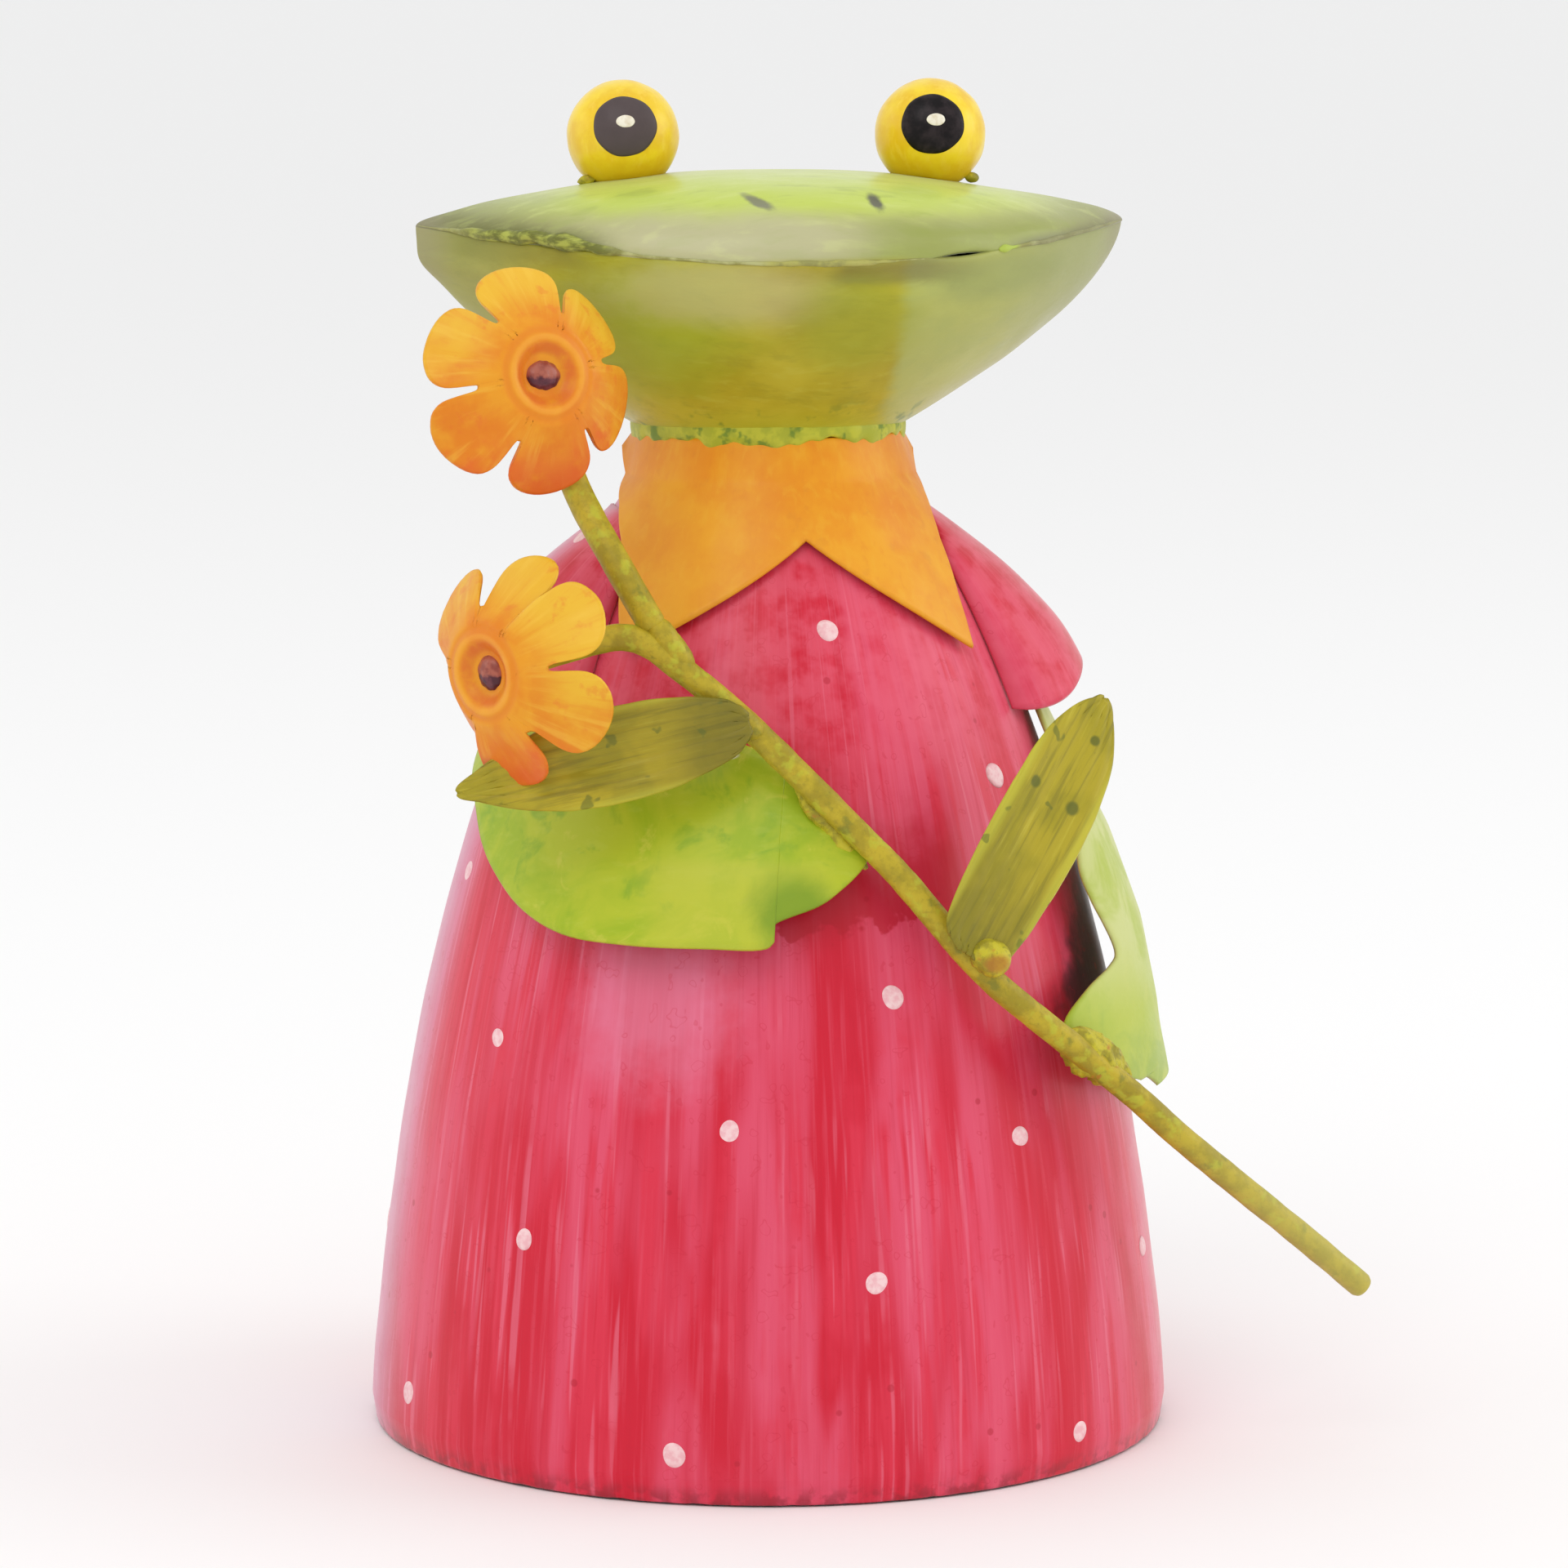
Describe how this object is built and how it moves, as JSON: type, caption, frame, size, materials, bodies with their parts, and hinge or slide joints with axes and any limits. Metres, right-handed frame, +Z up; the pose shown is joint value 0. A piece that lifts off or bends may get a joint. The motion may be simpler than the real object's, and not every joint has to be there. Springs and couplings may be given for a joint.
{
  "type": "sheet metal frog figurine",
  "caption": "Rigid frog figurine of painted sheet metal with an open bell dress, wide shallow head, ball eyes, and mitten hands holding a wire flower stem.",
  "frame": {"origin": "centre of the dress's hem ring, on the surface it stands on", "axes": "+Z up along the dress's axis; the frog looks along -Y; +X is the frog's own left"},
  "size_m": [0.1121, 0.0942, 0.1575],
  "materials": {
    "dress_paint": "gloss, hand-brushed",
    "collar_paint": "gloss, hand-brushed",
    "head_paint": "gloss, hand-brushed",
    "eye_paint": "gloss, hand-brushed",
    "arm_paint": "gloss, hand-brushed",
    "stem_paint": "gloss, hand-brushed",
    "flower_paint": "gloss, hand-brushed",
    "rivet_paint": "gloss, hand-brushed"
  },
  "bodies": {
    "root": {"dress_shell": "dress_paint", "collar": "collar_paint", "jaw_shell": "head_paint", "lid_shell": "head_paint", "mouth_seam": "head_paint", "neck_seam": "head_paint", "right_eye": "eye_paint", "left_eye": "eye_paint", "right_eye_weld": "head_paint", "left_eye_weld": "head_paint", "right_sleeve": "dress_paint", "left_sleeve": "dress_paint", "right_arm": "arm_paint", "left_arm": "arm_paint", "main_stem": "stem_paint", "branch_stem": "stem_paint", "upper_flower": "flower_paint", "lower_flower": "flower_paint", "upper_rivet": "rivet_paint", "lower_rivet": "rivet_paint", "right_leaf": "stem_paint", "left_leaf": "stem_paint", "branch_solder": "stem_paint", "right_hand_solder": "stem_paint", "left_hand_solder": "stem_paint", "right_leaf_solder": "stem_paint", "left_leaf_solder": "stem_paint"}
  },
  "joints": []
}
